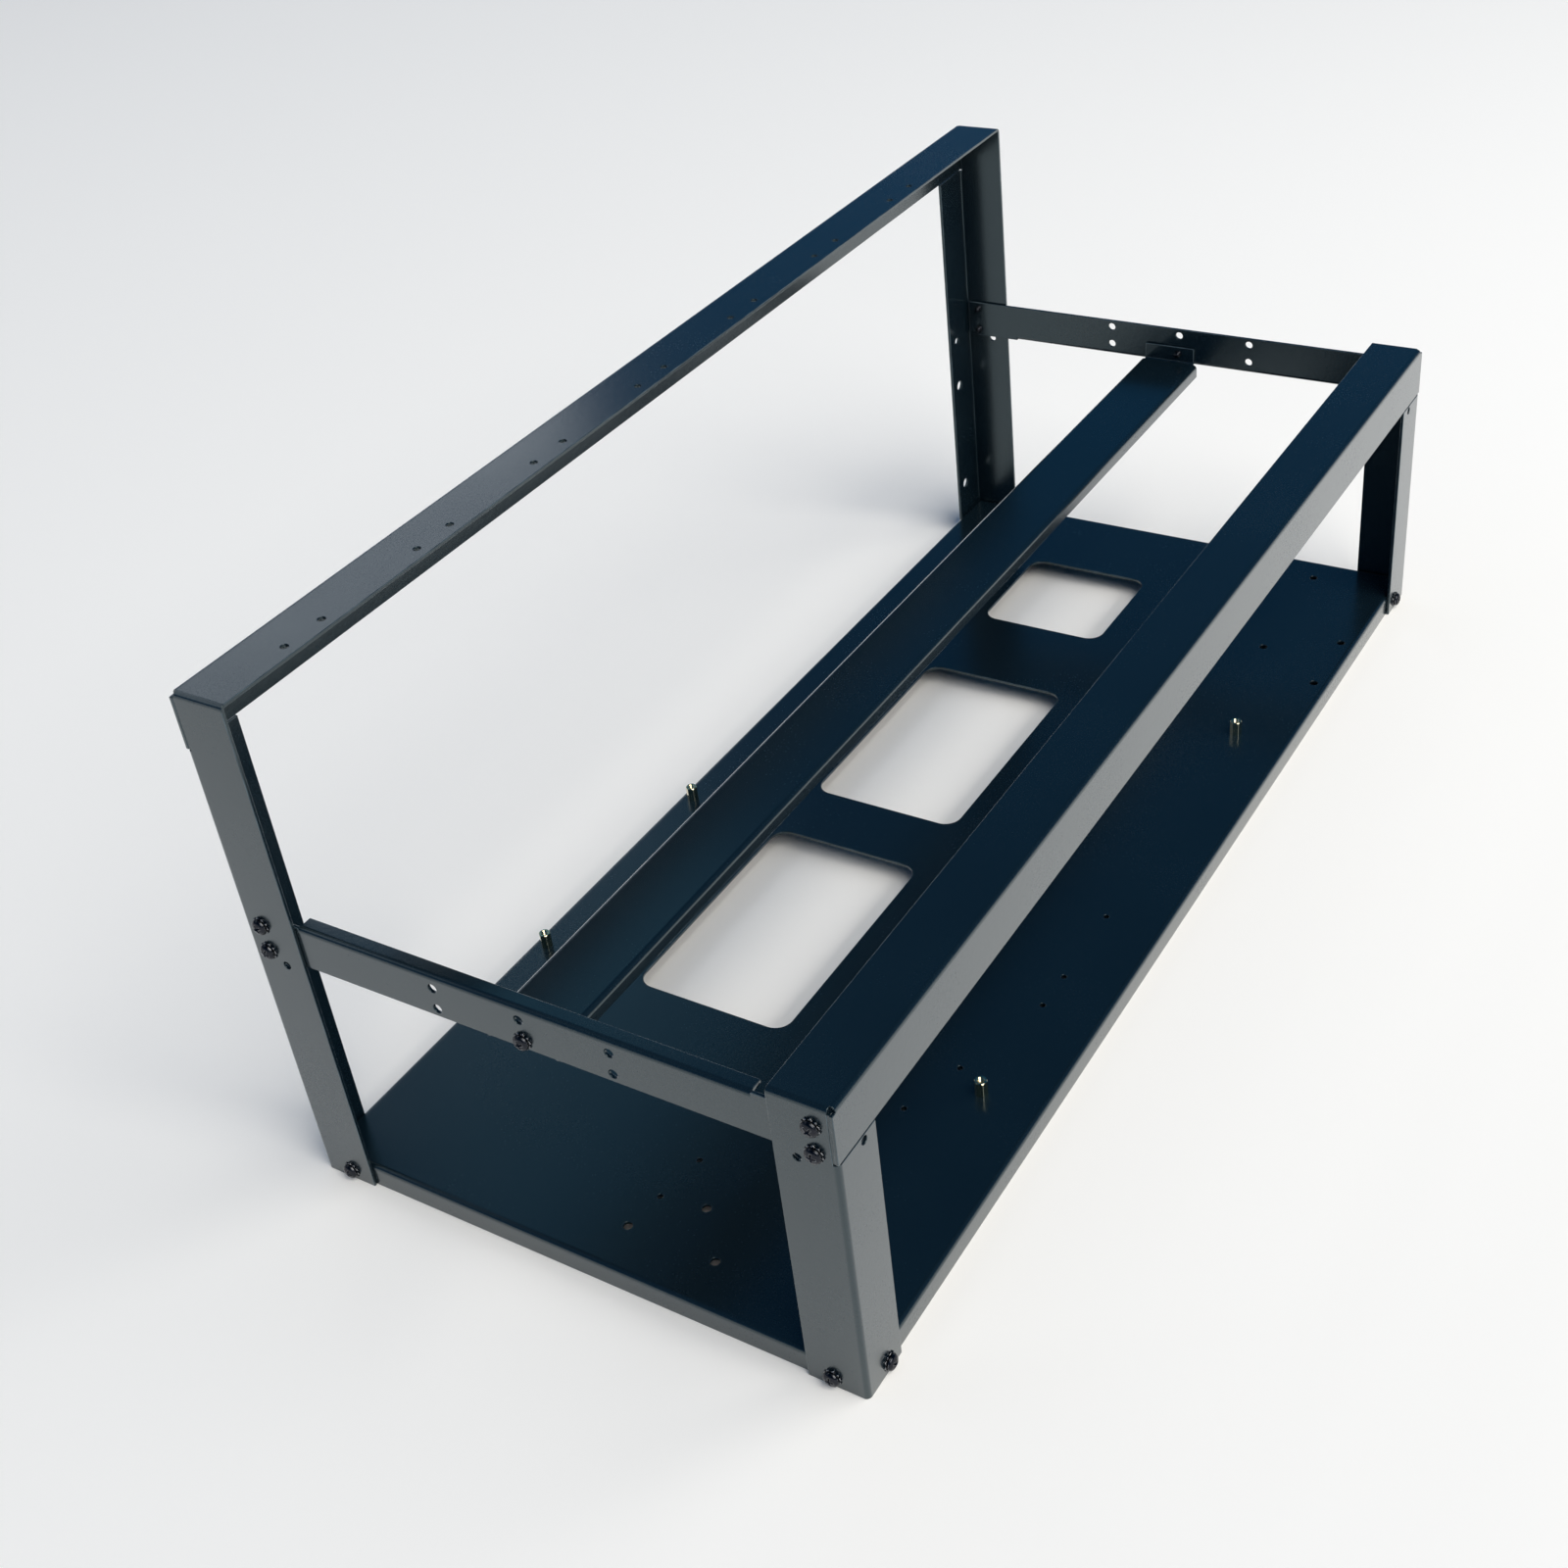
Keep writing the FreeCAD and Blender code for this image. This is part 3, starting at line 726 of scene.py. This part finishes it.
def turned_standoff():
    """Bmesh of one standoff with its seat at the origin."""
    bm = bmesh.new()
    bmesh.ops.create_circle(bm, segments=RING_POINTS, radius=STUD_RADIUS - STUD_CHAMFER)
    bmesh.ops.translate(bm, verts=bm.verts, vec=(0, 0, STUD_END))
    ring = list(bm.edges)
    bmesh.ops.edgeloop_fill(bm, edges=ring)
    outline = [(STUD_RADIUS, STUD_END + STUD_CHAMFER), (STUD_RADIUS, 0), (hexagon, 0),
               (hexagon, chamfer_foot), (FLATS / 2, STANDOFF_TOP),
               (BORE_RADIUS + THREAD_DEPTH, STANDOFF_TOP), (BORE_RADIUS, STANDOFF_TOP - THREAD_DEPTH)]
    groove_z = STANDOFF_TOP - THREAD_DEPTH
    while groove_z - THREAD_PITCH > BORE_FLOOR:
        outline.append((BORE_RADIUS - THREAD_DEPTH, groove_z - THREAD_PITCH / 2))
        outline.append((BORE_RADIUS, groove_z - THREAD_PITCH))
        groove_z -= THREAD_PITCH
    for radius, z in outline:
        ring = next_ring(bm, ring, radius, z)
    bmesh.ops.edgeloop_fill(bm, edges=ring)
    bmesh.ops.remove_doubles(bm, verts=bm.verts, dist=WELD)
    bmesh.ops.recalc_face_normals(bm, faces=bm.faces)
    corners = [e for e in bm.edges if abs(e.verts[0].co.z - e.verts[1].co.z) > FLATS
               and e.verts[0].co.xy.length > NEAR_CORNER]
    wear_and_highlight = bm.faces.layers.float.new(WEAR_AND_HIGHLIGHT_EDGE)
    for face in round_edges(bm, corners, CORNER_ROUND):
        face[wear_and_highlight] = 1.0
    for edge in bm.edges:
        edge.smooth = edge.calc_face_angle() < SMOOTH_BELOW
    return bm


print("thread grooves in a standoff", int((STANDOFF_TOP - THREAD_DEPTH - BORE_FLOOR) / THREAD_PITCH))

# %% [markdown]
# A standoff is tightened until it stops, so each one is turned a little from the one before. At these
# angles the flats don't mirror the lamp's glow in the tray, and the bodies look dark under bright tops.
# The CAD part gives the axis and the top of each.

# %% Standoffs in place
SPANNER_STOP = radians(45)           # where the first one stopped, and how the next ones differ
SPANNER_STEP = radians(3)

for i, node in enumerate(sorted(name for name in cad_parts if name.startswith("standoff"))):
    low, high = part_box(node)
    seat = Vector(((low.x + high.x) / 2, (low.y + high.y) / 2, high.z - STANDOFF_TOP))
    stop = Matrix.Rotation(SPANNER_STOP + i * SPANNER_STEP, 4, "Z")
    bm = turned_standoff()
    bmesh.ops.transform(bm, matrix=Matrix.Translation(seat) @ stop, verts=bm.verts)
    piece = make_piece("brass_" + node, bm, brass, node)
    keep_flat(piece)
    print(piece.name, "faces", len(piece.data.polygons))
